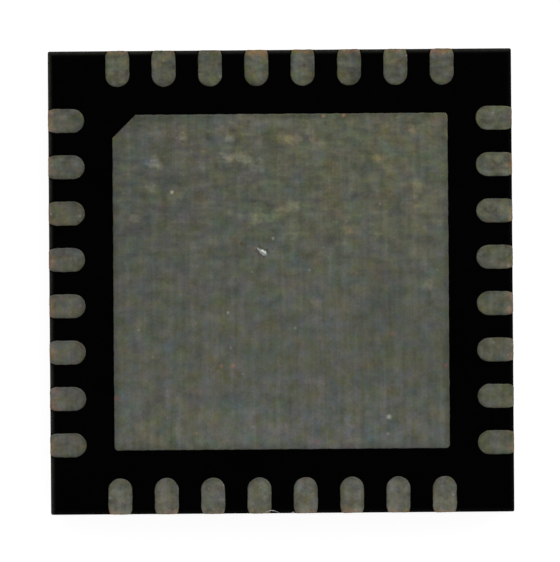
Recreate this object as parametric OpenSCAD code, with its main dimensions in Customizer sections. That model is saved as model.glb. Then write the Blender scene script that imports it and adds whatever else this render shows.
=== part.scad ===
// Quad flat no-lead chip package, lying on its marking face with the terminals up.
// The origin is the centre of the marking face, and +Z points out of the terminal side.
// Terminal 1 is next to the chamfered corner of the pad, at -X +Y, and the count runs clockwise.

/* [Package] */
// Side of the square body
body_w = 5; // [4:0.1:7]
// Height from the marking face to the lands
overall_h = 0.85; // [0.75:0.01:1]
// How far the lands stand proud of the moulding
standoff = 0.02; // [0.01:0.005:0.05]
// Diameter of the index dot in the marking face
index_d = 0.4; // [0.2:0.05:0.6]
// Depth of the index dot
index_depth = 0.02; // [0.01:0.005:0.04]
// Distance from the side walls to the centre of the index dot
index_inset = 0.5; // [0.4:0.05:0.8]

/* [Lead frame] */
// Thickness of the copper sheet
frame_t = 0.203; // [0.15:0.001:0.254]
// Thickness that half etching leaves
etch_t = 0.1; // [0.08:0.005:0.12]

/* [Terminals] */
// Distance between the centres of neighbouring terminals
lead_pitch = 0.5; // [0.4:0.05:0.65]
// Width of a land
land_w = 0.26; // [0.2:0.01:0.3]
// Length of a land, from the side wall to its round inner end
land_l = 0.39; // [0.3:0.01:0.45]
// How far the half-etched lip reaches past the land
lead_lip = 0.05; // [0.03:0.005:0.07]
// Distance from the side wall to the start of the lip
lip_setback = 0.12; // [0.08:0.01:0.15]

/* [Pad] */
// Gap between the inner ends of the lands and the pad
pad_gap = 0.3; // [0.2:0.01:0.5]
// Length of the chamfer at the index corner, along each side of the pad
pad_chamfer = 0.25; // [0.15:0.01:0.5]
// Radius of the other three corners of the pad
pad_corner_r = 0.04; // [0.02:0.01:0.1]
// How far the half-etched rim reaches past the pad
pad_lip = 0.06; // [0.03:0.005:0.08]
// Width of a corner tie bar
tie_bar_w = 0.15; // [0.1:0.01:0.18]
// Width of each leg of a tie bar's forked end
tie_leg_w = 0.1; // [0.06:0.01:0.14]
// Distance from the side walls to the fork of a tie bar
fork_inset = 0.22; // [0.15:0.01:0.26]
// Least gap between a tie bar and the lips next to it
tie_bar_gap = 0.05; // [0.03:0.01:0.06]

/* [Die] */
// Side of the square die
die_w = 2.4; // [1.8:0.05:2.5]
// Thickness of the die
die_t = 0.25; // [0.15:0.01:0.3]
// Thickness of the adhesive under the die
bond_line = 0.025; // [0.015:0.005:0.04]
// How far the adhesive's fillet spreads past the die
fillet_spread = 0.05; // [0.02:0.01:0.05]
// How far the fillet climbs the sides of the die
fillet_rise = 0.08; // [0.04:0.01:0.1]

/* [Bond wires] */
// Diameter of the wire
wire_d = 0.025; // [0.018:0.001:0.033]
// Diameter of the ball on the die
ball_d = 0.075; // [0.06:0.005:0.09]
// Height of the ball
ball_h = 0.018; // [0.012:0.002:0.024]
// Height of the loop over the die
loop_h = 0.15; // [0.12:0.01:0.18]
// Radius of the bend at the top of the loop
bend_r = 0.06; // [0.04:0.01:0.07]
// Distance from the edge of the die to the centres of the balls
ball_inset = 0.08; // [0.06:0.01:0.12]
// Distance from the corner of the die to the first ball, along the edge
ball_corner_gap = 0.25; // [0.2:0.01:0.4]
// Distance from the tip of the terminal to the tail of the stitch
stitch_reach = 0.14; // [0.1:0.01:0.16]
// Length of the flattened stitch
stitch_l = 0.06; // [0.04:0.01:0.08]
// Width of the stitch at its tail
stitch_w = 0.05; // [0.04:0.005:0.06]
// Thickness of the stitch at its tail
stitch_t = 0.008; // [0.005:0.001:0.012]

/* [Hidden] */
$fn = 48;

// Levels above the marking face
mould_h = overall_h - standoff;
frame_z = overall_h - frame_t;
etch_z = frame_z + etch_t;
die_seat_z = frame_z - bond_line;
die_face_z = die_seat_z - die_t;

// The pad and the rows of terminals
half_w = body_w / 2;
pad_w = body_w - 2 * (land_l + pad_gap);
land_round_y = half_w - land_l + land_w / 2;
lip_r = land_w / 2 + lead_lip;
corner_min = land_l - land_w / 2 + (lip_r + tie_bar_gap + tie_bar_w / 2) * sqrt(2);
side_count = 1 + floor((body_w - 2 * corner_min) / lead_pitch);
terminal_count = 4 * side_count;

// The wires' ends and their eight-sided section
ball_pitch = (die_w - 2 * ball_corner_gap) / (side_count - 1);
ball_y = die_w / 2 - ball_inset;
tail_y = half_w - land_l - lead_lip + stitch_reach;
wire_sides = 8;
flat_share = cos(180 / wire_sides);
// Place and height of the knee in the wire's long span, as shares of the span
knee_run = 0.4;
knee_rise = 0.25;

SIDES = [1:4];

function terminal_name(n) = str("terminal_", n < 10 ? "0" : "", n);
function wires_name(side) = str("bond_wires_side_", side);

// Place of a piece in a row of evenly spaced ones, from the middle of the row
function row_x(i, pitch) = (i - (side_count - 1) / 2) * pitch;

// Corner radius that gives the many-sided section the area of a round one
function section_r(d) = d / 2 * sqrt(2 * PI / (wire_sides * sin(360 / wire_sides)));

// One ring of the wire: its centre, the slope of the wire there, and half its width and thickness
function ring(x, z, slope, half_across, half_thick) = [
    for (k = [0:wire_sides - 1])
        let (a = 360 * (k + 0.5) / wire_sides, t = half_thick * sin(a))
        [x - t * sin(slope), half_across * cos(a), z + t * cos(slope)]
];

// Rings from the ball, down the neck, round the bend and along the span to the stitch
function wire_rings(run) =
    let (
        ball_r = section_r(ball_d),
        wire_r = section_r(wire_d),
        top_z = die_face_z - loop_h,
        touch_half = stitch_t / 2 + wire_r / 2,
        touch_x = run - stitch_l,
        touch_z = frame_z - touch_half * flat_share,
        knee_x = bend_r + knee_run * (touch_x - bend_r),
        knee_z = top_z + knee_rise * (touch_z - top_z),
        knee_slope = atan2(touch_z - top_z, touch_x - bend_r)
    )
    [
        ring(0, die_face_z, -90, ball_r, ball_r),
        ring(0, die_face_z - ball_h, -90, ball_r, ball_r),
        ring(0, die_face_z - ball_h - wire_d, -90, wire_r, wire_r),
        ring(0, top_z + bend_r, -90, wire_r, wire_r),
        ring(bend_r * (1 - cos(45)), top_z + bend_r * (1 - sin(45)), -45, wire_r, wire_r),
        ring(bend_r, top_z, 0, wire_r, wire_r),
        ring(knee_x, knee_z, knee_slope, wire_r, wire_r),
        ring(touch_x, touch_z, 0, wire_r, touch_half),
        ring(run, frame_z - stitch_t / 2 * flat_share, 0, stitch_w / 2, stitch_t / 2)
    ];

// Triangles between two neighbouring rings, and the two end caps
function tube_faces(rings) = concat(
    [[for (k = [0:wire_sides - 1]) k]],
    [
        for (i = [0:rings - 2], k = [0:wire_sides - 1], half = [0, 1])
            let (
                near = i * wire_sides,
                far = near + wire_sides,
                next = (k + 1) % wire_sides
            )
            half == 0 ? [near + k, far + k, far + next] : [near + k, far + next, near + next]
    ],
    [[for (k = [wire_sides - 1:-1:0]) (rings - 1) * wire_sides + k]]
);

module layer(z0, z1) {
    translate([0, 0, z0]) linear_extrude(z1 - z0) children();
}

// Turns what is drawn for side 1, at +Y, clockwise to another side
module on_side(side) {
    rotate(-90 * (side - 1)) children();
}

// The pad's square with three round corners and one chamfer, grown evenly by an amount
module pad_outline(grow) {
    w = pad_w + 2 * grow;
    r = pad_corner_r + grow;
    chamfer = pad_chamfer + grow * (2 - sqrt(2));
    difference() {
        union() {
            square([w, w - 2 * r], center = true);
            square([w - 2 * r, w], center = true);
            for (x = [-1, 1], y = [-1, 1])
                translate([x, y] * (w / 2 - r)) circle(r);
        }
        translate([-w / 2, w / 2]) rotate(45) square(chamfer * sqrt(2), center = true);
    }
}

// A tie bar from the middle of the pad to its forked end at the +X +Y corner
module tie_bar_outline() {
    fork = half_w - fork_inset;
    rotate(45) translate([0, -tie_bar_w / 2]) square([fork * sqrt(2), tie_bar_w]);
    for (flip = [0, 1])
        mirror([flip, -flip])
            translate([fork - tie_leg_w / 2, fork - tie_leg_w / 2])
                square([tie_leg_w, fork_inset + tie_leg_w / 2]);
}

// A strip with a round inner end, for a land or its lip, in the middle of side 1
module finger_outline(r, outer_y) {
    translate([0, land_round_y]) circle(r);
    translate([-r, land_round_y]) square([2 * r, outer_y - land_round_y]);
}

module die_pad() {
    color([0.34, 0.35, 0.31]) {
        layer(frame_z, overall_h) pad_outline(0);
        layer(frame_z, etch_z) {
            pad_outline(pad_lip);
            for (side = SIDES)
                on_side(side) tie_bar_outline();
        }
    }
}

module terminal(n) {
    side = 1 + floor((n - 1) / side_count);
    place = (n - 1) % side_count;
    color([0.36, 0.36, 0.31])
        on_side(side)
            translate([row_x(place, lead_pitch), 0]) {
                layer(frame_z, overall_h) finger_outline(land_w / 2, half_w);
                layer(frame_z, etch_z) finger_outline(lip_r, half_w - lip_setback);
            }
}

module die() {
    color([0.38, 0.4, 0.45])
        layer(die_face_z, die_seat_z) square(die_w, center = true);
}

module die_attach() {
    foot = die_w + 2 * fillet_spread;
    color([0.72, 0.71, 0.68])
        difference() {
            translate([0, 0, frame_z])
                mirror([0, 0, 1])
                    linear_extrude(bond_line + fillet_rise, scale = die_w / foot)
                        square(foot, center = true);
            die();
        }
}

// One wire of side 1, from its ball on the die to its stitch on the terminal
module bond_wire(place) {
    ball = [row_x(place, ball_pitch), ball_y];
    tail = [row_x(place, lead_pitch), tail_y];
    along = tail - ball;
    rings = wire_rings(norm(along));
    translate(ball)
        rotate(atan2(along.y, along.x))
            polyhedron([for (r = rings, p = r) p], tube_faces(len(rings)));
}

module bond_wires(side) {
    color([0.85, 0.66, 0.27])
        on_side(side)
            for (place = [0:side_count - 1])
                bond_wire(place);
}

// The moulding fills every space round the pieces that it holds
module mould_body() {
    color([0.02, 0.02, 0.02])
        difference() {
            layer(0, mould_h) square(body_w, center = true);
            translate([index_inset - half_w, half_w - index_inset])
                cylinder(h = 2 * index_depth, d = index_d, center = true);
            die_pad();
            die_attach();
            die();
            for (n = [1:terminal_count])
                terminal(n);
            for (side = SIDES)
                bond_wires(side);
        }
}

mould_body();
die_pad();
die_attach();
die();
for (n = [1:terminal_count])
    terminal(n);
for (side = SIDES)
    bond_wires(side);
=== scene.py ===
import math
import random

import bmesh
import bpy
from mathutils import Matrix, Vector, noise


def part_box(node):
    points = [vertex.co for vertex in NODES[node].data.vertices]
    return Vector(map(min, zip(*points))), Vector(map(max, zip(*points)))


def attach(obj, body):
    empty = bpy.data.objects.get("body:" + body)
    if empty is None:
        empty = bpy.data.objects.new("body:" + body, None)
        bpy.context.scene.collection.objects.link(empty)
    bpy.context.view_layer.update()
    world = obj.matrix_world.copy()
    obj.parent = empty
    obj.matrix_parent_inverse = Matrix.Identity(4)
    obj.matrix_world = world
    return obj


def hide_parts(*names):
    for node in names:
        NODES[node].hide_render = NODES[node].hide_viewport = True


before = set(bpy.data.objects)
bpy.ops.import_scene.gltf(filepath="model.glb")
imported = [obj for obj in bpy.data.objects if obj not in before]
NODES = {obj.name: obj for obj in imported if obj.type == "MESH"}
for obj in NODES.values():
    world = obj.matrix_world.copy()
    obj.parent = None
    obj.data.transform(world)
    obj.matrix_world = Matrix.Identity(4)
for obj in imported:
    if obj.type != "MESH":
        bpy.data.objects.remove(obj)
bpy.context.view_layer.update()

# Sizes. Meshes and textures are worked out in millimetres and set down in metres.
MM = 0.001
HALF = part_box("mould_body")[1].x / MM
MOULD_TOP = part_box("mould_body")[1].z / MM
LAND_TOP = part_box("die_pad")[1].z / MM
TERMINALS = sorted(name for name in NODES if name.startswith("terminal_"))
WIRES = sorted(name for name in NODES if name.startswith("bond_wires_"))
SIDE_COUNT = len(TERMINALS) // 4
NEAR = 1e-4
UP = Vector((0, 0, 1))
SEED = 32
rng = random.Random(SEED)
noise.seed_set(SEED)


def plated_points(node):
    """The corners of a node's plated face."""
    return [vert.co / MM for vert in NODES[node].data.vertices if vert.co.z / MM > LAND_TOP - NEAR]


LAND_L = HALF - min(point.y for point in plated_points(TERMINALS[0]))
LAND_SIDES = [point.x for point in plated_points(TERMINALS[0])]
LAND_W = max(LAND_SIDES) - min(LAND_SIDES)
LAND_PITCH = (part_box(TERMINALS[1])[0].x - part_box(TERMINALS[0])[0].x) / MM
PAD_HALF = max(point.x for point in plated_points("die_pad"))
PAD_CHAMFER_AT = max(point.y - point.x for point in plated_points("die_pad"))

# Faces nearer to one plane than the first angle are joined, and edges above the second stay sharp
FLAT_ANGLE, SHARP_ANGLE = math.radians(0.5), math.radians(35)

# Upright part of a normal: least on a plated face, most on a sawn wall, most on a plate's side
PLATED_UP, WALL_UP, SIDE_UP = 0.999, 0.99, 0.5

# Edge of the plate: the depth it is reshaped to, its steps, rounding, flat frame, spread and wander
FLUSH_DEPTH = 0.004
RIM_STEP = 0.015
PLATE_ROUND, ROUND_STEPS = 0.010, 4
RIM_FLAT = 0.012
PLATE_SPREAD = 0.0035
RIM_WANDER, WANDER_SCALE = 0.004, 14.0
RIPPLE_SCALE, RIPPLE_SHARE = 40.0, 0.4

# Painted shade at the edge of the plate: its power down the rounding, how much it darkens a band inside
# the rounding, and that band's reach on a land and on the pad
ROUNDING_SHADE = 7.0
RIM_SHADE, LAND_SHADE_REACH, PAD_SHADE_REACH = 0.22, 0.055, 0.10

# Sawn end of a land: how far it narrows and over what length, and the burr on it
PINCH, PINCH_REACH = 0.018, 0.085
BURR, BURR_STRIP, BURR_CUTS = 0.004, 0.016, 9
BURR_RISE = (-0.4, 0.5)

# Sawn edges of the moulding: rounded corners, grey along the edges of its face, chips
CORNER_ROUND, CORNER_STEPS = 0.018, 3
EDGE_GREY = (0.028, 0.028, 0.024, 1)
GREY_REACH, GREY_POWER, GREY_ELSEWHERE = 0.08, 3.0, 0.13
CHIPS_PER_EDGE, CHIP_POINTS = 7, 14
CHIP_SIZE, CHIP_RAGGED = (0.005, 0.016), (0.7, 1.3)
CHIP_SPAN, CHIP_OUT = 0.96, 0.45

# Part of a normal along an axis above which a wall faces that axis
FACING = 0.7

# Saw blade: its radius, the height of its lowest point and its marks to the millimetre
BLADE_R, BLADE_LOW, SAW_MARKS = 28.0, -0.05, 13.0

# Hairs of metal that the saw drew along the front edge: their form, then start, bend and end of each
SLIVER_R, SLIVER_SIDES, SLIVER_STEPS = 0.0045, 8, 16
SLIVER_TIP, SLIVER_BLUNT = 0.35, 0.15
SLIVERS = [
    ((-0.195, -2.499, 0.846), (-0.125, -2.438, 0.880), (-0.035, -2.499, 0.832)),
    ((0.092, -2.499, 0.831), (0.115, -2.480, 0.852), (0.142, -2.499, 0.831)),
]

# The scratch in the middle of the pad: a bright ridge between two grooves
SCRATCH_AT = Vector((-0.204, 0.322))
SCRATCH_TURN = math.radians(-36)
SCRATCH_LENGTH, SCRATCH_WIDTH = 0.14, 0.064
SCRATCH_RISE = 0.012
SCRATCH_REACH, SCRATCH_STEP = 0.09, 0.005

# Shape of the scratch, in half lengths and half widths: each lobe has a place, a reach and a size
LOBES = ((0.45, 0.34, 0.78), (-0.10, 0.30, 0.66), (-0.74, 0.26, 0.32))
RIDGE_LEAST = 0.05
GROOVE_SHARE, GROOVE_SHARPNESS = 0.16, 6
SCRATCH_END, SCRATCH_SIDE = 1.3, 2.5
BARED_SHARE, BARED_LESS = 1.1, 0.12

# Range that most of a noise lies in
NOISE_SPAN = (0.3, 0.7)

# Dull tin: how far lines and grain move its level, how far it is wiped, how far its tints wander
TIN_ROLLED, TIN_WIPED, TIN_FINE = 0.65, 0.85, 0.46
TIN_BLOTCH = 1.5
WIPED_LEAST, WIPED_MOST = 0.1, 0.65
TIN_WARM, TIN_BLUE, TIN_STREAK = 0.115, 0.175, 0.065
WARM_SCALE, BLUE_SCALE = 0.92, 0.83

# Bands up the part over which the tin's blotches, wipes, streaks and pale smears change
BLOTCH_BAND, WIPED_BAND, STREAK_BAND, PALE_BAND = (-0.4, 1.6), (-0.8, 1.0), (-0.6, 0.6), (-0.2, 0.9)

# Tin on the pad: colour, clouds to the millimetre, their strength, share of dots
PAD_TIN = ((0.139, 0.146, 0.118), 6.0, 0.95, 0.05)

# Tin on the lands of each side: the same, then reach and share of the copper at the sawn end
LAND_TINS = [
    ((0.133, 0.136, 0.099), 9.0, 1.20, 0.4, 0.065, 0.95),
    ((0.143, 0.148, 0.108), 9.0, 1.40, 0.3, 0.06, 0.60),
    ((0.165, 0.165, 0.130), 9.0, 1.70, 0.4, 0.06, 0.45),
    ((0.136, 0.137, 0.108), 9.0, 1.20, 0.3, 0.08, 0.50),
]

# Copper at the sawn end of a land: its tint, how ragged its border is, its least share
COPPER_TINT, COPPER_RAGGED, COPPER_LEAST = (2.10, 1.36, 1.08, 1), 4.0, 0.15

# Distance from the sawn end over which a land dulls, and its level before and after
DULL_BAND, DULL_LEVELS = (0.16, 0.40), (1.03, 0.95)

# Dots on the plate: cells to the millimetre, radius in cells, strength, colours of copper and of dust
DOT_SCALE, DOT_RADIUS, DOT_STRENGTH = 6.5, 0.14, 0.8
DOT_COPPER, DOT_DUST = (0.27, 0.18, 0.12, 1), (0.33, 0.33, 0.30, 1)

# Other finishes, each from its darker to its lighter colour
BRIGHT_TIN = (0.23, 0.25, 0.24, 1), (0.46, 0.48, 0.46, 1)
COPPER = (0.40, 0.205, 0.125, 1), (0.66, 0.37, 0.24, 1)
COPPER_BROWN = (0.27, 0.165, 0.11, 1)
MOULD = (0.00015, 0.00015, 0.0002, 1), (0.0004, 0.0004, 0.00045, 1)
MOULD_SAWN = (0.006, 0.006, 0.0065, 1), (0.016, 0.016, 0.0165, 1)
FILLER = (0.060, 0.060, 0.058, 1)
SILICON = (0.30, 0.32, 0.37, 1), (0.40, 0.42, 0.47, 1)
ADHESIVE = (0.55, 0.54, 0.51, 1), (0.78, 0.77, 0.74, 1)
GOLD = (0.80, 0.56, 0.20, 1), (0.92, 0.72, 0.34, 1)

# Smears on the pad: how each tints it, its place and its two radii
YELLOWED = (1.07, 1.04, 0.90)
WASHED = (1.17, 1.17, 1.30)
DULLED = (0.87, 0.88, 0.90)
PALE = (1.42, 1.40, 1.28)
BRIGHT = (1.85, 1.77, 1.72)
RUDDY = (1.60, 1.36, 1.28)
BLUISH = (1.08, 1.06, 1.26)
SMEARS = [
    (YELLOWED, 0.90, 1.40, 2.60, 1.70),
    (WASHED, 0.00, -2.00, 3.40, 1.20),
    (DULLED, -2.00, 0.90, 2.10, 1.90),
    (DULLED, 1.10, -0.30, 0.50, 0.60),
    (YELLOWED, -1.00, -1.70, 1.30, 0.50),
    (BRIGHT, -1.040, 1.557, 0.110, 0.080),
    (BRIGHT, -0.543, 1.545, 0.110, 0.080),
    (BRIGHT, 0.148, 1.532, 0.110, 0.080),
    (RUDDY, 0.342, 1.557, 0.110, 0.090),
    (BRIGHT, -0.478, 1.342, 0.250, 0.075),
    (BRIGHT, -1.342, 1.285, 0.150, 0.085),
    (PALE, -0.241, 1.242, 0.130, 0.090),
    (PALE, -1.406, 1.026, 0.120, 0.085),
    (PALE, -1.579, 0.694, 0.090, 0.060),
    (PALE, -0.220, 0.690, 0.240, 0.085),
    (PALE, 0.180, 0.790, 0.260, 0.080),
    (RUDDY, 1.054, 1.329, 0.140, 0.065),
    (PALE, 1.465, 0.962, 0.070, 0.240),
    (RUDDY, 0.731, 0.573, 0.140, 0.070),
    (RUDDY, 1.594, -0.053, 0.110, 0.120),
    (RUDDY, 0.383, -0.228, 0.080, 0.070),
    (RUDDY, 1.420, 1.650, 0.060, 0.130),
    (BLUISH, 0.407, -1.220, 0.030, 0.620),
    (BLUISH, 0.735, -1.500, 0.035, 0.330),
]

# Specks on the pad: place, radius and colour. Among them are painted glints and painted shadow beside
# the scratch
SPECKS_GLINTS_AND_SHADOWS = [
    # the first two, yellowish and whitish, are painted glints
    (-1.169, 0.972, 0.032, (0.53, 0.45, 0.26)),
    (1.152, -1.467, 0.042, (0.41, 0.40, 0.33)),
    (1.141, -1.650, 0.028, (0.29, 0.24, 0.22)),
    (-0.575, -0.333, 0.026, (0.34, 0.36, 0.36)),
    (0.150, -0.504, 0.024, (0.24, 0.24, 0.22)),
    (-0.650, -0.905, 0.034, (0.30, 0.18, 0.13)),
    (-0.522, -0.905, 0.034, (0.34, 0.20, 0.13)),
    (-0.082, 0.466, 0.024, (0.29, 0.32, 0.30)),
    (1.206, -0.571, 0.050, (0.20, 0.15, 0.12)),
    (-0.424, 0.411, 0.026, (0.10, 0.08, 0.03)),
    (0.472, 1.782, 0.032, (0.34, 0.21, 0.12)),
    (0.688, 1.787, 0.028, (0.36, 0.23, 0.12)),
    (-1.790, -1.240, 0.036, (0.22, 0.11, 0.09)),
    (0.360, -1.730, 0.034, (0.23, 0.14, 0.15)),
    (1.770, -0.917, 0.030, (0.24, 0.11, 0.11)),
    (-0.547, -0.713, 0.022, (0.24, 0.24, 0.21)),
    (-0.417, -0.995, 0.022, (0.23, 0.24, 0.24)),
    # these last two are painted shadow beside the scratch's ridge
    (-0.152, 0.346, 0.020, (0.06, 0.06, 0.05)),
    (-0.090, 0.353, 0.015, (0.09, 0.09, 0.08)),
]

# Floor, in metres: its size and drop, its own white, its reflectance where seen and where it lights
FLOOR_SIZE, FLOOR_DROP = 0.6, 1e-6
FLOOR_WHITE, FLOOR_SHADE, FLOOR_BOUNCE = 0.86, 0.30, 0.9

# Sky: its strength near the horizon and overhead, and the heights between which it changes
SKY_LOW, SKY_OVERHEAD = 0.85, 0.45
SKY_FROM, SKY_TO = 0.45, 0.9

# Key lamp, in metres and watts
KEY_AT, KEY_SIZE, KEY_POWER = (0.085, 0.147, 0.145), 0.26, 0.30

# Camera: what the frame's height takes in at the lands, the lens, the roll and the aim
FRAME_HEIGHT, LENS, ROLL = 6.063, 500.0, math.radians(-0.43)
AIM = (-0.011, 0.006)


# Node helpers


def feed(tree, socket, value):
    """Links a socket to another one, or sets its own value."""
    if isinstance(value, bpy.types.NodeSocket):
        tree.links.new(value, socket)
    else:
        socket.default_value = value


def add(tree, kind, inputs=None, out=0, **settings):
    """A node with its settings and inputs, as the output socket asked for."""
    made = tree.nodes.new(kind)
    for key, value in settings.items():
        setattr(made, key, value)
    for key, value in (inputs or {}).items():
        feed(tree, made.inputs[key], value)
    return made.outputs[out]


def math_of(tree, operation, *values):
    """One step of arithmetic on up to three values."""
    return add(tree, "ShaderNodeMath", dict(enumerate(values)), operation=operation)


def product(tree, first, *others):
    """Several values multiplied."""
    for other in others:
        first = math_of(tree, "MULTIPLY", first, other)
    return first


def farther_of(tree, x, y):
    """The larger of two values, whatever their signs."""
    return math_of(tree, "MAXIMUM", math_of(tree, "ABSOLUTE", x), math_of(tree, "ABSOLUTE", y))


def between(tree, share, a, b):
    """A value so far on the way from one to another."""
    return add(tree, "ShaderNodeMix", {0: share, 2: a, 3: b})


def blend(tree, factor, a, b, mode="MIX"):
    """One colour over another."""
    inputs = {0: factor, 6: a, 7: b}
    return add(tree, "ShaderNodeMix", inputs, out=2, data_type="RGBA", blend_type=mode)


def ramp(tree, value, low, high, to_low=0.0, to_high=1.0):
    """A smooth step of a value from one range to another."""
    inputs = {0: value, 1: low, 2: high, 3: to_low, 4: to_high}
    return add(tree, "ShaderNodeMapRange", inputs, interpolation_type="SMOOTHSTEP")


def around(tree, value, size, base=1.0):
    """Spreads noise from 0 to 1 about a base level."""
    return math_of(tree, "MULTIPLY_ADD", value, size, base - size / 2)


def swung(tree, value, size):
    """Spreads noise from 0 to 1 about 1, by a size that changes from place to place."""
    return math_of(tree, "MULTIPLY_ADD", math_of(tree, "SUBTRACT", value, 0.5), size, 1.0)


def scaled(tree, vector, by):
    """A vector or colour times a value."""
    return add(tree, "ShaderNodeVectorMath", {0: vector, "Scale": by}, operation="SCALE")


def length_of(tree, vector):
    """The length of a vector."""
    return add(tree, "ShaderNodeVectorMath", {0: vector}, out="Value", operation="LENGTH")


def axes_of(tree, vector):
    """The three components of a vector."""
    parts = tree.nodes.new("ShaderNodeSeparateXYZ")
    feed(tree, parts.inputs[0], vector)
    return parts.outputs[0], parts.outputs[1], parts.outputs[2]


def place_mm(tree):
    """The place on the part in millimetres."""
    return scaled(tree, add(tree, "ShaderNodeTexCoord", out="Object"), 1 / MM)


def stretched(tree, place, by, shift=(0, 0, 0)):
    """A place stretched along the axes, then shifted."""
    return add(tree, "ShaderNodeVectorMath", {0: place, 1: by, 2: shift}, operation="MULTIPLY_ADD")


def grain(tree, place, scale, detail=3.0, rough=0.55, by=(1, 1, 1), seed=0):
    """Noise from 0 to 1, at so many features to the millimetre, stretched along an axis."""
    moved = stretched(tree, place, by, (seed, seed, seed))
    inputs = {"Vector": moved, "Scale": scale, "Detail": detail, "Roughness": rough}
    return add(tree, "ShaderNodeTexNoise", inputs)


def shaken(tree, place, scale, reach):
    """A place moved about by noise, for ragged outlines."""
    inputs = {"Vector": place, "Scale": scale, "Detail": 3.0, "Roughness": 0.6}
    moves = add(tree, "ShaderNodeTexNoise", inputs, out="Color")
    moved = stretched(tree, moves, (reach, reach, 0), (-reach / 2, -reach / 2, 0))
    return add(tree, "ShaderNodeVectorMath", {0: place, 1: moved})


def cells_of(tree, place, scale, dimensions="3D"):
    """The distance to the middle of the nearest cell of a scatter, and that cell's random colour."""
    cells = tree.nodes.new("ShaderNodeTexVoronoi")
    cells.voronoi_dimensions = dimensions
    feed(tree, cells.inputs["Vector"], place)
    cells.inputs["Scale"].default_value = scale
    return cells.outputs["Distance"], cells.outputs["Color"]


def spot(tree, place, x, y, radius, radius_y=None):
    """1 in the middle of a small round or oval spot, 0 outside it."""
    by = (1 / radius, 1 / (radius_y or radius), 0)
    off = stretched(tree, place, by, (-x * by[0], -y * by[1], 0))
    return ramp(tree, length_of(tree, off), 0.0, 1.0, 1.0, 0.0)


def bumped(tree, height, distance, normal=None):
    """A normal tilted by a height of so many millimetres."""
    inputs = {"Strength": 1.0, "Distance": distance * MM, "Height": height}
    if normal is not None:
        inputs["Normal"] = normal
    return add(tree, "ShaderNodeBump", inputs)


def saw_marks(tree, place):
    """Noise along the shallow arcs that a round blade leaves as it travels along a side wall."""
    x, y, height = axes_of(tree, place)
    facing_x = axes_of(tree, add(tree, "ShaderNodeNewGeometry", out="Normal"))[0]
    on_x = math_of(tree, "GREATER_THAN", math_of(tree, "ABSOLUTE", facing_x), FACING)
    along = between(tree, on_x, x, y)
    rise = math_of(tree, "MAXIMUM", math_of(tree, "SUBTRACT", height, BLADE_LOW), 0.0)
    arc = math_of(tree, "SQRT", product(tree, rise, 2 * BLADE_R))
    travel = math_of(tree, "SUBTRACT", along, arc)
    inputs = {"W": travel, "Scale": SAW_MARKS, "Detail": 5.0, "Roughness": 0.75}
    return add(tree, "ShaderNodeTexNoise", inputs, noise_dimensions="1D")


def material(name):
    """A new material, its tree and its principled shader."""
    made = bpy.data.materials.new(name)
    made.use_nodes = True
    return made, made.node_tree, made.node_tree.nodes["Principled BSDF"]


def shade(tree, shader, inputs):
    """Sets or links a shader's sockets."""
    for name, value in inputs.items():
        feed(tree, shader.inputs[name], value)


# Tin


def from_pad_rim(tree, place):
    """How far in from its rim a place on the pad lies."""
    x, y, _ = axes_of(tree, place)
    from_sides = math_of(tree, "SUBTRACT", PAD_HALF, farther_of(tree, x, y))
    across = math_of(tree, "SUBTRACT", PAD_CHAMFER_AT, math_of(tree, "SUBTRACT", y, x))
    return math_of(tree, "MINIMUM", from_sides, product(tree, across, math.sqrt(0.5)))


def from_land_rim(tree, place):
    """How far in from its rim, other than its sawn end, a place on a land lies."""
    x, y, _ = axes_of(tree, place)
    x, y = math_of(tree, "ABSOLUTE", x), math_of(tree, "ABSOLUTE", y)
    half_pitch = LAND_PITCH / 2
    across = math_of(tree, "PINGPONG", math_of(tree, "MINIMUM", x, y), half_pitch)
    aside = math_of(tree, "SUBTRACT", half_pitch, across)
    inward = math_of(tree, "SUBTRACT", HALF - LAND_L + LAND_W / 2, math_of(tree, "MAXIMUM", x, y))
    past = math_of(tree, "MAXIMUM", inward, 0.0)
    off = add(tree, "ShaderNodeCombineXYZ", {0: aside, 1: past})
    return math_of(tree, "SUBTRACT", LAND_W / 2, length_of(tree, off))


def copper_end(tree, place, colour, reach, share):
    """Copper that shows through a land's plate near its sawn end, and duller plate farther in."""
    x, y, _ = axes_of(tree, place)
    inward = math_of(tree, "SUBTRACT", HALF, farther_of(tree, x, y))
    colour = scaled(tree, colour, ramp(tree, inward, *DULL_BAND, *DULL_LEVELS))
    ragged = around(tree, grain(tree, place, 9.0, rough=0.65, seed=3), COPPER_RAGGED, 0.0)
    border = math_of(tree, "MULTIPLY_ADD", ragged, reach, inward)
    amount = ramp(tree, grain(tree, place, 1.9, detail=1.0), 0.3, 0.6, COPPER_LEAST, share)
    bare = product(tree, ramp(tree, border, 0.0, reach, 1.0, 0.0), amount)
    return blend(tree, bare, colour, COPPER_TINT, mode="MULTIPLY")


def pad_marks_and_painted_light(tree, place, cloud, colour):
    """Smears and specks on the pad, among the specks painted glints and painted shadow beside the
    scratch.
    """
    broken = around(tree, cloud, size=1.4)
    smeared = grain(tree, place, 1.0, detail=4.0, rough=0.65, by=(3.6, 9.0, 1.0), seed=9)
    upper = ramp(tree, axes_of(tree, place)[1], *PALE_BAND)
    mask = product(tree, ramp(tree, smeared, 0.58, 0.80), upper)
    colour = blend(tree, mask, colour, (*PALE, 1), mode="MULTIPLY")
    ragged = shaken(tree, place, scale=9.0, reach=0.22)
    for tint, x, y, radius, radius_y in SMEARS:
        mask = product(tree, spot(tree, ragged, x, y, radius, radius_y), broken)
        colour = blend(tree, mask, colour, (*tint, 1), mode="MULTIPLY")
    uneven = shaken(tree, place, scale=40.0, reach=0.03)
    # specks, among them painted glints and painted shadow beside the scratch
    for x, y, radius, tint in SPECKS_GLINTS_AND_SHADOWS:
        colour = blend(tree, spot(tree, uneven, x, y, radius), colour, (*tint, 1))
    return colour


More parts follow.
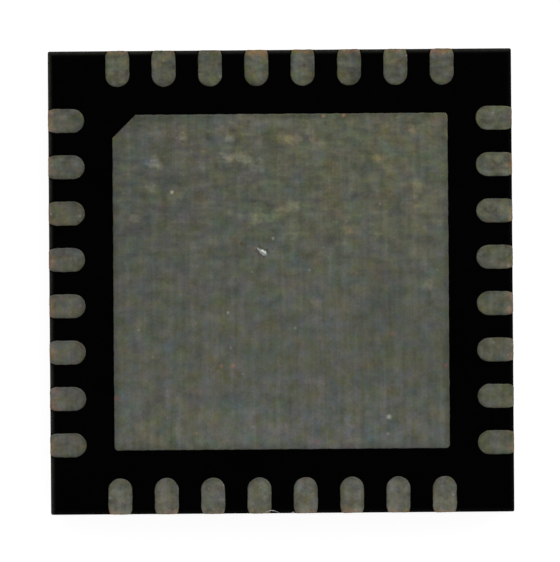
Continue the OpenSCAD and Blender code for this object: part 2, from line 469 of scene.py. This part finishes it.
def dotted(tree, place, share, colour):
    """Soft dots of dust and of bare copper, in a share of the cells of a scatter."""
    far, random_colour = cells_of(tree, place, DOT_SCALE, "2D")
    pick, mix, _ = axes_of(tree, random_colour)
    dot = ramp(tree, far, 0.0, DOT_RADIUS, DOT_STRENGTH, 0.0)
    dot = product(tree, dot, ramp(tree, pick, 1 - share, 1.0))
    return blend(tree, dot, colour, blend(tree, mix, DOT_COPPER, DOT_DUST))


def tin_level(tree, y, cloud, fine, rolled, wiped, cloudy):
    """How light the plate is from place to place."""
    blotch = ramp(tree, y, *BLOTCH_BAND, cloudy, cloudy * TIN_BLOTCH)
    wipes = ramp(tree, y, *WIPED_BAND, WIPED_LEAST * TIN_WIPED, TIN_WIPED)
    return product(
        tree,
        swung(tree, cloud, blotch),
        around(tree, rolled, TIN_ROLLED),
        swung(tree, wiped, wipes),
        around(tree, fine, TIN_FINE),
    )


def tin_colour(tree, place, y, lines, hue, mottle):
    """The plate's hue with warm and blue patches, and streaks that are blue below and yellow above."""
    warm = grain(tree, place, mottle * WARM_SCALE, detail=4.0, rough=0.65, seed=11)
    cold = grain(tree, place, mottle * BLUE_SCALE, detail=5.0, rough=0.7, seed=13)
    streak = around(tree, lines, TIN_STREAK, 0.0)
    streak = product(tree, streak, ramp(tree, y, *STREAK_BAND, 1.0, -1.0))
    red = around(tree, warm, TIN_WARM, hue[0])
    blue = math_of(tree, "ADD", around(tree, cold, TIN_BLUE, hue[2]), streak)
    return add(tree, "ShaderNodeCombineXYZ", {0: red, 1: hue[1], 2: blue})


def tin(name, hue, mottle, cloudy, dots, copper_reach=0.0, copper_share=0.0):
    """Dull, mottled grey green tin, as on the pad or, with copper at its sawn end, as on a land, with
    painted shade in a band inside its rim and down its rounding.
    """
    made, tree, shader = material(name)
    place = place_mm(tree)
    _, y, height = axes_of(tree, place)
    cloud = grain(tree, place, mottle, detail=5.0, rough=0.7)
    fine = grain(tree, place, 42.0, detail=5.0, rough=0.6)
    rolled = grain(tree, place, 1.0, rough=0.7, by=(13.0, 0.5, 1.0), seed=5)
    wiped = grain(tree, place, 1.0, rough=0.6, by=(3.0, 12.0, 1.0), seed=7)
    lines = between(tree, ramp(tree, y, *WIPED_BAND, WIPED_LEAST, WIPED_MOST), rolled, wiped)
    if copper_share:
        inward, shade_reach = from_land_rim(tree, place), LAND_SHADE_REACH
    else:
        inward, shade_reach = from_pad_rim(tree, place), PAD_SHADE_REACH
    level = tin_level(tree, y, cloud, fine, rolled, wiped, cloudy)
    # painted shade: the plate is darker in a band inside its rim, as the edges of a crowned plate would
    # be shaded
    level = product(tree, level, ramp(tree, inward, 0.0, shade_reach, 1 - RIM_SHADE, 1.0))
    colour = scaled(tree, tin_colour(tree, place, y, lines, hue, mottle), level)
    if copper_share:
        colour = copper_end(tree, place, colour, copper_reach, copper_share)
    else:
        colour = pad_marks_and_painted_light(tree, place, cloud, colour)
    colour = dotted(tree, place, dots, colour)
    rise = add(tree, "ShaderNodeMapRange", {0: height, 1: LAND_TOP - PLATE_ROUND, 2: LAND_TOP})
    shade(tree, shader, {
        # painted shade: the colour darkens down the rounding of the plate's edge, where it would
        # otherwise catch the light
        "Base Color": scaled(tree, colour, math_of(tree, "POWER", rise, ROUNDING_SHADE)),
        "Metallic": ramp(tree, rise, 0.3, 0.8),
        "Specular IOR Level": 0.02,
        "Roughness": ramp(tree, cloud, *NOISE_SPAN, 0.42, 0.54),
        "Normal": bumped(tree, fine, 0.0008, bumped(tree, lines, 0.0006)),
    })
    return made


def bright_tin():
    """Fresh tin laid bare by the scratch."""
    made, tree, shader = material("bright_tin")
    torn = grain(tree, place_mm(tree), 45.0, rough=0.7)
    shade(tree, shader, {
        "Base Color": blend(tree, ramp(tree, torn, 0.3, 0.6), *BRIGHT_TIN),
        "Metallic": 1.0,
        "Roughness": ramp(tree, torn, *NOISE_SPAN, 0.30, 0.48),
        "Normal": bumped(tree, torn, 0.002),
    })
    return made


# Other materials


def sawn_copper():
    """Copper cut by the saw: bright streaks on a browned ground."""
    made, tree, shader = material("sawn_copper")
    place = place_mm(tree)
    marks = saw_marks(tree, place)
    patch = grain(tree, place, 14.0, rough=0.6)
    colour = blend(tree, ramp(tree, marks, 0.35, 0.65), *COPPER)
    shade(tree, shader, {
        "Base Color": blend(tree, ramp(tree, patch, 0.45, 0.70, 0.0, 0.65), colour, COPPER_BROWN),
        "Metallic": 1.0,
        "Roughness": ramp(tree, marks, *NOISE_SPAN, 0.5, 0.34),
        "Normal": bumped(tree, marks, 0.002),
    })
    return made


def edge_grey(tree, place, colour):
    """Grey along the sawn edges, most of it along the left and the upper one."""
    x, y, _ = axes_of(tree, place)
    left, right = math_of(tree, "ADD", x, HALF), math_of(tree, "SUBTRACT", HALF, x)
    upper, lower = math_of(tree, "SUBTRACT", HALF, y), math_of(tree, "ADD", y, HALF)
    greys = []
    for edges in ((left, upper), (right, lower)):
        near = math_of(tree, "MINIMUM", *edges)
        greys.append(math_of(tree, "POWER", ramp(tree, near, 0.0, GREY_REACH, 1.0, 0.0), GREY_POWER))
    amount = math_of(tree, "MAXIMUM", greys[0], product(tree, greys[1], GREY_ELSEWHERE))
    patchy = around(tree, grain(tree, place, 12.0, detail=4.0, rough=0.7, seed=17), size=1.6)
    return blend(tree, product(tree, amount, patchy), colour, EDGE_GREY)


def mould_face():
    """Black moulding compound as it leaves the mould: matt, very finely grained, greyer along its
    edges.
    """
    made, tree, shader = material("mould_face")
    place = place_mm(tree)
    fine = grain(tree, place, 60.0, rough=0.6)
    cloud = grain(tree, place, 3.0, rough=0.5)
    colour = blend(tree, ramp(tree, cloud, *NOISE_SPAN), *MOULD)
    shade(tree, shader, {
        # grey along the edges of the face, most along the left and upper ones
        "Base Color": edge_grey(tree, place, colour),
        "Specular IOR Level": 0.01,
        "Roughness": ramp(tree, fine, 0.2, 0.8, 0.38, 0.5),
        "Normal": bumped(tree, fine, 0.0015),
    })
    return made


def mould_sawn():
    """Moulding compound cut by the saw: dark grey, streaked, with the cut grains of its filler."""
    made, tree, shader = material("mould_sawn")
    place = place_mm(tree)
    marks = saw_marks(tree, place)
    far, _ = cells_of(tree, place, 26.0)
    some = ramp(tree, grain(tree, place, 9.0, detail=2.0), 0.42, 0.62)
    grains = product(tree, ramp(tree, far, 0.10, 0.24, 1.0, 0.0), some)
    colour = blend(tree, ramp(tree, marks, *NOISE_SPAN), *MOULD_SAWN)
    shade(tree, shader, {
        "Base Color": blend(tree, grains, colour, FILLER),
        "Specular IOR Level": 0.3,
        "Roughness": ramp(tree, marks, *NOISE_SPAN, 0.62, 0.46),
        "Normal": bumped(tree, math_of(tree, "MULTIPLY_ADD", grains, -0.5, marks), 0.004),
    })
    return made


def inner_metal(name, colours, roughness, scale):
    """A metallic finish with fine marks, for a piece sealed in the moulding."""
    made, tree, shader = material(name)
    marks = grain(tree, place_mm(tree), scale, rough=0.6)
    shade(tree, shader, {
        "Base Color": blend(tree, marks, *colours),
        "Metallic": 1.0,
        "Roughness": ramp(tree, marks, *NOISE_SPAN, roughness, roughness + 0.12),
        "Normal": bumped(tree, marks, 0.001),
    })
    return made


# Mesh helpers


def node_copy(name):
    """A CAD node's shape in millimetres, with its flat faces whole."""
    shape = bmesh.new()
    shape.from_mesh(NODES[name].data)
    shape.transform(Matrix.Scale(1 / MM, 4))
    bmesh.ops.remove_doubles(shape, verts=shape.verts, dist=NEAR / 10)
    bmesh.ops.dissolve_limit(shape, angle_limit=FLAT_ANGLE, verts=shape.verts, edges=shape.edges)
    return shape


def at_wall(point):
    """Whether a point lies in one of the four sawn side walls."""
    return max(abs(point.x), abs(point.y)) > HALF - NEAR


def in_wall(face):
    """Whether a face lies in a side wall."""
    return all(at_wall(vert.co) for vert in face.verts)


def outward(point):
    """The unit direction out of the side wall that a point lies in."""
    if abs(point.x) > abs(point.y):
        return Vector((math.copysign(1, point.x), 0, 0))
    return Vector((0, math.copysign(1, point.y), 0))


def set_down(name, data):
    """A new object in the scene."""
    made = bpy.data.objects.new(name, data)
    bpy.context.scene.collection.objects.link(made)
    return made


def piece(name, shape, materials):
    """An object in metres from a shape in millimetres."""
    shape.transform(Matrix.Scale(MM, 4))
    mesh = bpy.data.meshes.new(name)
    shape.to_mesh(mesh)
    shape.free()
    for item in materials:
        mesh.materials.append(item)
    mesh.shade_smooth()
    mesh.set_sharp_from_angle(angle=SHARP_ANGLE)
    made = set_down(name, mesh)
    weigh = made.modifiers.new("flat_faces", "WEIGHTED_NORMAL")
    weigh.keep_sharp = True
    return made


def stand_for(made, node):
    """Shows a piece in place of a CAD node."""
    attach(made, "root")
    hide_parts(node)


def round_edges(shape, edges, radius, steps):
    """Rounds edges."""
    bmesh.ops.bevel(
        shape, geom=edges, offset=radius, offset_type="OFFSET", segments=steps,
        profile=0.5, affect="EDGES", clamp_overlap=True,
    )


def cut_faces(shape, faces, at, normal):
    """Cuts faces along a plane."""
    edges = dict.fromkeys(edge for face in faces for edge in face.edges)
    verts = dict.fromkeys(vert for face in faces for vert in face.verts)
    parts = [*verts, *edges, *faces]
    bmesh.ops.bisect_plane(shape, geom=parts, plane_co=at, plane_no=normal, dist=NEAR / 10)


def settled(shape):
    """The same shape with its faces in a fixed order, so that every run goes on from the same one."""
    shape.verts.index_update()
    rings = []
    for face in shape.faces:
        ring = [vert.index for vert in face.verts]
        first = ring.index(min(ring))
        rings.append(ring[first:] + ring[:first])
    fresh = bmesh.new()
    points = [fresh.verts.new(vert.co) for vert in shape.verts]
    for ring in sorted(rings):
        fresh.faces.new([points[index] for index in ring])
    shape.free()
    return fresh


# Plated faces


def top_rim(shape):
    """The edges round a plated face, but not where the saw cut it."""
    return [
        edge for edge in shape.edges
        if all(abs(v.co.z - LAND_TOP) < NEAR for v in edge.verts)
        and not all(at_wall(v.co) for v in edge.verts)
    ]


def rim_points(shape):
    """The points of that rim, each once."""
    return dict.fromkeys(vert for edge in top_rim(shape) for vert in edge.verts)


def top_faces(shape):
    """The flat plated faces."""
    shape.normal_update()
    return [
        face for face in shape.faces
        if face.normal.z > PLATED_UP and face.calc_center_median().z > LAND_TOP - NEAR
    ]


def cut_flush(shape):
    """Cuts a shape just below the face of the moulding: only what lies above the cut is reshaped."""
    cut_faces(shape, list(shape.faces), Vector((0, 0, MOULD_TOP - FLUSH_DEPTH)), UP)


def cut_rim(shape):
    """Cuts the outline of a plated face into short steps."""
    for edge in top_rim(shape):
        cuts = int(edge.calc_length() / RIM_STEP)
        if cuts:
            bmesh.ops.subdivide_edges(shape, edges=[edge], cuts=cuts)


def spread_plate(shape):
    """Lets the plate reach a little way over the moulding round it."""
    shape.normal_update()
    moves = []
    for vert in rim_points(shape):
        sides = [face for face in vert.link_faces if abs(face.normal.z) < SIDE_UP and not in_wall(face)]
        way = sum((face.normal for face in sides), Vector((0, 0, 0)))
        moves.append((vert, Vector((way.x, way.y, 0)).normalized() * PLATE_SPREAD))
    for vert, move in moves:
        vert.co += move


def pinch_end(shape, middle):
    """Draws the outline of a land in a little towards its sawn end."""
    aside = Vector((1, 0, 0)) if abs(middle.y) > abs(middle.x) else Vector((0, 1, 0))
    for vert in rim_points(shape):
        inward = HALF - max(abs(vert.co.x), abs(vert.co.y))
        share = max(0.0, 1 - inward / PINCH_REACH) ** 2
        off = (vert.co - middle).dot(aside)
        vert.co -= aside * math.copysign(PINCH * share, off)


def rounded(shape):
    """The shape with its plated face's edge rounded, its flat part framed and its outline uneven."""
    round_edges(shape, top_rim(shape), PLATE_ROUND, ROUND_STEPS)
    bmesh.ops.inset_region(
        shape, faces=top_faces(shape), thickness=RIM_FLAT, use_boundary=True, use_even_offset=True,
    )
    for vert in shape.verts:
        if vert.co.z > LAND_TOP - PLATE_ROUND - NEAR:
            shift = noise.noise_vector(vert.co * WANDER_SCALE)
            shift += noise.noise_vector(vert.co * RIPPLE_SCALE) * RIPPLE_SHARE
            if at_wall(vert.co):
                shift -= shift.project(outward(vert.co))
            vert.co.x += shift.x * RIM_WANDER
            vert.co.y += shift.y * RIM_WANDER
    return settled(shape)


def mark_sawn(shape):
    """Gives the faces in the side walls the second material."""
    for face in shape.faces:
        face.material_index = int(in_wall(face))


# Terminals


def raise_burr(shape):
    """A thin ragged lip along the top of the sawn end."""
    ends = [face for face in shape.faces if in_wall(face)]
    cut_faces(shape, ends, Vector((0, 0, LAND_TOP - BURR_STRIP)), UP)
    edges = [
        edge for edge in shape.edges
        if all(at_wall(v.co) and abs(v.co.z - LAND_TOP) < NEAR for v in edge.verts)
    ]
    strips = dict.fromkeys(face for edge in edges for face in edge.link_faces if in_wall(face))
    cut = bmesh.ops.subdivide_edges(shape, edges=edges, cuts=BURR_CUTS)
    for item in cut["geom_inner"]:
        if isinstance(item, bmesh.types.BMVert):
            item.co += outward(item.co) * BURR * rng.random()
            item.co.z += BURR * rng.uniform(*BURR_RISE)
    bmesh.ops.poke(shape, faces=list(strips))


def build_terminals(plates, copper):
    """Each terminal, its land plated and its end sawn."""
    for number, node in enumerate(TERMINALS):
        shape = node_copy(node)
        low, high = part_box(node)
        cut_flush(shape)
        cut_rim(shape)
        spread_plate(shape)
        pinch_end(shape, (low + high) / 2 / MM)
        shape = rounded(shape)
        mark_sawn(shape)
        raise_burr(shape)
        made = piece(node + "_plated", shape, [plates[number // SIDE_COUNT], copper])
        stand_for(made, node)


def sliver_ring(shape, t, start, bend, end):
    """The points round a hair of metal at a share of its length."""
    middle = start.lerp(bend, t).lerp(bend.lerp(end, t), t)
    ahead = (bend - start).lerp(end - bend, t).normalized()
    across = ahead.cross(UP).normalized()
    swell = math.sin(math.pi * min(1.0, t + SLIVER_BLUNT))
    radius = SLIVER_R * (SLIVER_TIP + (1 - SLIVER_TIP) * swell)
    ring = []
    for side in range(SLIVER_SIDES):
        turn = 2 * math.pi * side / SLIVER_SIDES
        way = across * math.cos(turn) + across.cross(ahead) * math.sin(turn)
        ring.append(shape.verts.new(middle + way * radius))
    return ring


def build_sliver(name, bends, finish):
    """A hair of metal that the saw drew out, bent over the edge of the moulding."""
    bends = [Vector(bend) for bend in bends]
    shape = bmesh.new()
    rings = [sliver_ring(shape, step / SLIVER_STEPS, *bends) for step in range(SLIVER_STEPS + 1)]
    for near, far in zip(rings, rings[1:]):
        for side in range(SLIVER_SIDES):
            after = (side + 1) % SLIVER_SIDES
            shape.faces.new((near[side], near[after], far[after], far[side]))
    shape.faces.new(rings[0])
    shape.faces.new(rings[-1])
    bmesh.ops.recalc_face_normals(shape, faces=shape.faces)
    made = piece(name, shape, [finish])
    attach(made, "root")


# Pad


def slice_face(shape, axis, values):
    """Cuts the plated face along lines, so that its points can be raised."""
    for value in values:
        at, normal = Vector((0, 0, 0)), Vector((0, 0, 0))
        at[axis], normal[axis] = value, 1
        cut_faces(shape, top_faces(shape), at, normal)


def scratch_place(point):
    """A place on the pad as shares of the scratch's half length and half width."""
    off = point.xy - SCRATCH_AT
    along = off.x * math.cos(SCRATCH_TURN) + off.y * math.sin(SCRATCH_TURN)
    across = off.y * math.cos(SCRATCH_TURN) - off.x * math.sin(SCRATCH_TURN)
    return along / (SCRATCH_LENGTH / 2), across / (SCRATCH_WIDTH / 2)


def scratch_lobe(along):
    """How wide and high the scratch's ridge is: two lobes and a thin tail."""
    return sum(size * math.exp(-((along - at) / reach) ** 2) for at, reach, size in LOBES)


def scratch_height(point):
    """Height of the scratch's ridge and grooves at a place on the pad."""
    along, across = scratch_place(point)
    if abs(along) > SCRATCH_END or abs(across) > SCRATCH_SIDE:
        return 0.0
    lobe = scratch_lobe(along)
    ridge = math.exp(-(across / max(lobe, RIDGE_LEAST)) ** 2)
    grooves = math.exp(-GROOVE_SHARPNESS * (abs(across) - 1.0) ** 2)
    return SCRATCH_RISE * lobe * (ridge - GROOVE_SHARE * grooves)


def scratch_pad(shape):
    """Raises the scratch and gives its bared faces the third material."""
    last = int(SCRATCH_REACH / SCRATCH_STEP)
    for axis in (0, 1):
        lines = [SCRATCH_AT[axis] + step * SCRATCH_STEP for step in range(-last, last + 1)]
        slice_face(shape, axis, lines)
    for face in shape.faces:
        along, across = scratch_place(face.calc_center_median())
        bared = abs(across) < BARED_SHARE * scratch_lobe(along) - BARED_LESS
        if face.normal.z > PLATED_UP and bared:
            face.material_index = 2
    for vert in shape.verts:
        if vert.co.z > LAND_TOP - NEAR:
            vert.co.z += scratch_height(vert.co)


def build_pad(plate, copper, bright):
    """The pad, its face plated and scratched and the ends of its tie bars sawn."""
    shape = node_copy("die_pad")
    cut_flush(shape)
    cut_rim(shape)
    spread_plate(shape)
    shape = rounded(shape)
    mark_sawn(shape)
    scratch_pad(shape)
    made = piece("die_pad_plated", shape, [plate, copper, bright])
    stand_for(made, "die_pad")


# Moulding


def chip_shape(at, size):
    """A small broken-out lump, as a cutter."""
    shape = bmesh.new()
    for _ in range(CHIP_POINTS):
        way = Vector((rng.gauss(0, 1), rng.gauss(0, 1), rng.gauss(0, 1))).normalized()
        shape.verts.new(at + way * size * rng.uniform(*CHIP_RAGGED))
    hull = bmesh.ops.convex_hull(shape, input=shape.verts)
    bmesh.ops.delete(shape, geom=list(set(hull["geom_interior"])), context="VERTS")
    return shape


def chip_cutters():
    """Cutters along the upper and lower sawn edges, as one mesh."""
    mesh = bpy.data.meshes.new("chip_cutters")
    joined = bmesh.new()
    for side in range(4):
        turn = Matrix.Rotation(math.radians(90) * side, 4, "Z")
        for level in (0.0, MOULD_TOP):
            for _ in range(CHIPS_PER_EDGE):
                size = rng.uniform(*CHIP_SIZE)
                along = rng.uniform(-CHIP_SPAN, CHIP_SPAN) * HALF
                lump = chip_shape(turn @ Vector((along, HALF + size * CHIP_OUT, level)), size)
                lump.to_mesh(mesh)
                lump.free()
                joined.from_mesh(mesh)
    joined.to_mesh(mesh)
    joined.free()
    return mesh


def chipped(shape):
    """The shape with the chips broken out of its edges."""
    mesh = bpy.data.meshes.new("uncut")
    shape.to_mesh(mesh)
    shape.free()
    uncut = set_down("uncut", mesh)
    cutters = set_down("chip_cutters", chip_cutters())
    cut = uncut.modifiers.new("chips", "BOOLEAN")
    cut.object = cutters
    cut.operation = "DIFFERENCE"
    cut.solver = "EXACT"
    broken = bmesh.new()
    broken.from_object(uncut, bpy.context.evaluated_depsgraph_get())
    bmesh.ops.dissolve_degenerate(broken, dist=NEAR / 2, edges=broken.edges)
    for item in (uncut, cutters):
        bpy.data.objects.remove(item)
    return broken


def build_mould(face, sawn):
    """The moulding, its upright corners rounded and its sawn edges chipped."""
    shape = node_copy("mould_body")
    corners = [
        edge for edge in shape.edges
        if all(abs(abs(v.co.x) - HALF) < NEAR and abs(abs(v.co.y) - HALF) < NEAR for v in edge.verts)
    ]
    round_edges(shape, corners, CORNER_ROUND, CORNER_STEPS)
    shape = chipped(shape)
    rim = max(CORNER_ROUND, 2 * CHIP_SIZE[1])
    for item in shape.faces:
        outer = all(max(abs(v.co.x), abs(v.co.y)) > HALF - rim for v in item.verts)
        item.material_index = int(outer and abs(item.normal.z) < WALL_UP)
    made = piece("mould_shell", shape, [face, sawn])
    stand_for(made, "mould_body")


def paint(node, finish):
    """Puts a finish on a CAD node that stays as it is."""
    slots = NODES[node].data.materials
    slots.clear()
    slots.append(finish)


# Stage


def build_floor():
    """A floor that looks white and keeps a faint shadow."""
    mesh = bpy.data.meshes.new("floor")
    signs = ((-1, -1), (1, -1), (1, 1), (-1, 1))
    corners = [(x * FLOOR_SIZE, y * FLOOR_SIZE, -FLOOR_DROP) for x, y in signs]
    mesh.from_pydata(corners, [], [(0, 1, 2, 3)])
    floor = set_down("floor", mesh)
    made = bpy.data.materials.new("floor")
    made.use_nodes = True
    tree = made.node_tree
    tree.nodes.clear()
    path = tree.nodes.new("ShaderNodeLightPath")
    seen = path.outputs["Is Camera Ray"]
    for ray in ("Is Glossy Ray", "Is Transmission Ray"):
        seen = math_of(tree, "MAXIMUM", seen, path.outputs[ray])
    lit = add(tree, "ShaderNodeBsdfDiffuse", {"Color": between(tree, seen, FLOOR_BOUNCE, FLOOR_SHADE)})
    white = add(tree, "ShaderNodeEmission", {"Strength": product(tree, seen, FLOOR_WHITE)})
    out = tree.nodes.new("ShaderNodeOutputMaterial")
    feed(tree, out.inputs["Surface"], add(tree, "ShaderNodeAddShader", {0: lit, 1: white}))
    mesh.materials.append(made)


def build_sky():
    """White round the horizon, darker overhead."""
    world = bpy.data.worlds.new("sky")
    bpy.context.scene.world = world
    world.use_nodes = True
    tree = world.node_tree
    height = axes_of(tree, add(tree, "ShaderNodeTexCoord", out="Generated"))[2]
    level = ramp(tree, height, SKY_FROM, SKY_TO, SKY_LOW, SKY_OVERHEAD)
    shade(tree, tree.nodes["Background"], {"Color": (1, 1, 1, 1), "Strength": level})


def build_lamp(name, place, size, power):
    """A soft square lamp that faces the part."""
    data = bpy.data.lights.new(name, "AREA")
    data.size = size
    data.energy = power
    lamp = set_down(name, data)
    lamp.location = place
    lamp.rotation_euler = (-Vector(place)).to_track_quat("-Z", "Y").to_euler()


def build_camera():
    """Straight down on the lands, turned a little, as the part lies in the photograph."""
    data = bpy.data.cameras.new("camera")
    data.lens = LENS
    data.clip_start = MM
    camera = set_down("camera", data)
    height = FRAME_HEIGHT * LENS / data.sensor_width
    camera.location = Vector((*AIM, LAND_TOP + height)) * MM
    camera.rotation_euler = (0, 0, ROLL)
    bpy.context.scene.camera = camera


copper = sawn_copper()
bright = bright_tin()
plates = []
for number, (*looks, reach, share) in enumerate(LAND_TINS, start=1):
    plates.append(tin(f"tin_side_{number}", *looks, copper_reach=reach, copper_share=share))
build_terminals(plates, copper)
for number, bends in enumerate(SLIVERS, start=1):
    build_sliver(f"sawn_end_sliver_{number}", bends, bright)
build_pad(tin("tin_pad", *PAD_TIN), copper, bright)
build_mould(mould_face(), mould_sawn())
paint("die", inner_metal("silicon", SILICON, roughness=0.2, scale=6.0))
paint("die_attach", inner_metal("silver_adhesive", ADHESIVE, roughness=0.5, scale=40.0))
gold = inner_metal("gold", GOLD, roughness=0.25, scale=90.0)
for node in WIRES:
    paint(node, gold)
build_floor()
build_sky()
build_lamp("key", KEY_AT, KEY_SIZE, KEY_POWER)
build_camera()
bpy.context.scene.view_settings.view_transform = "Standard"
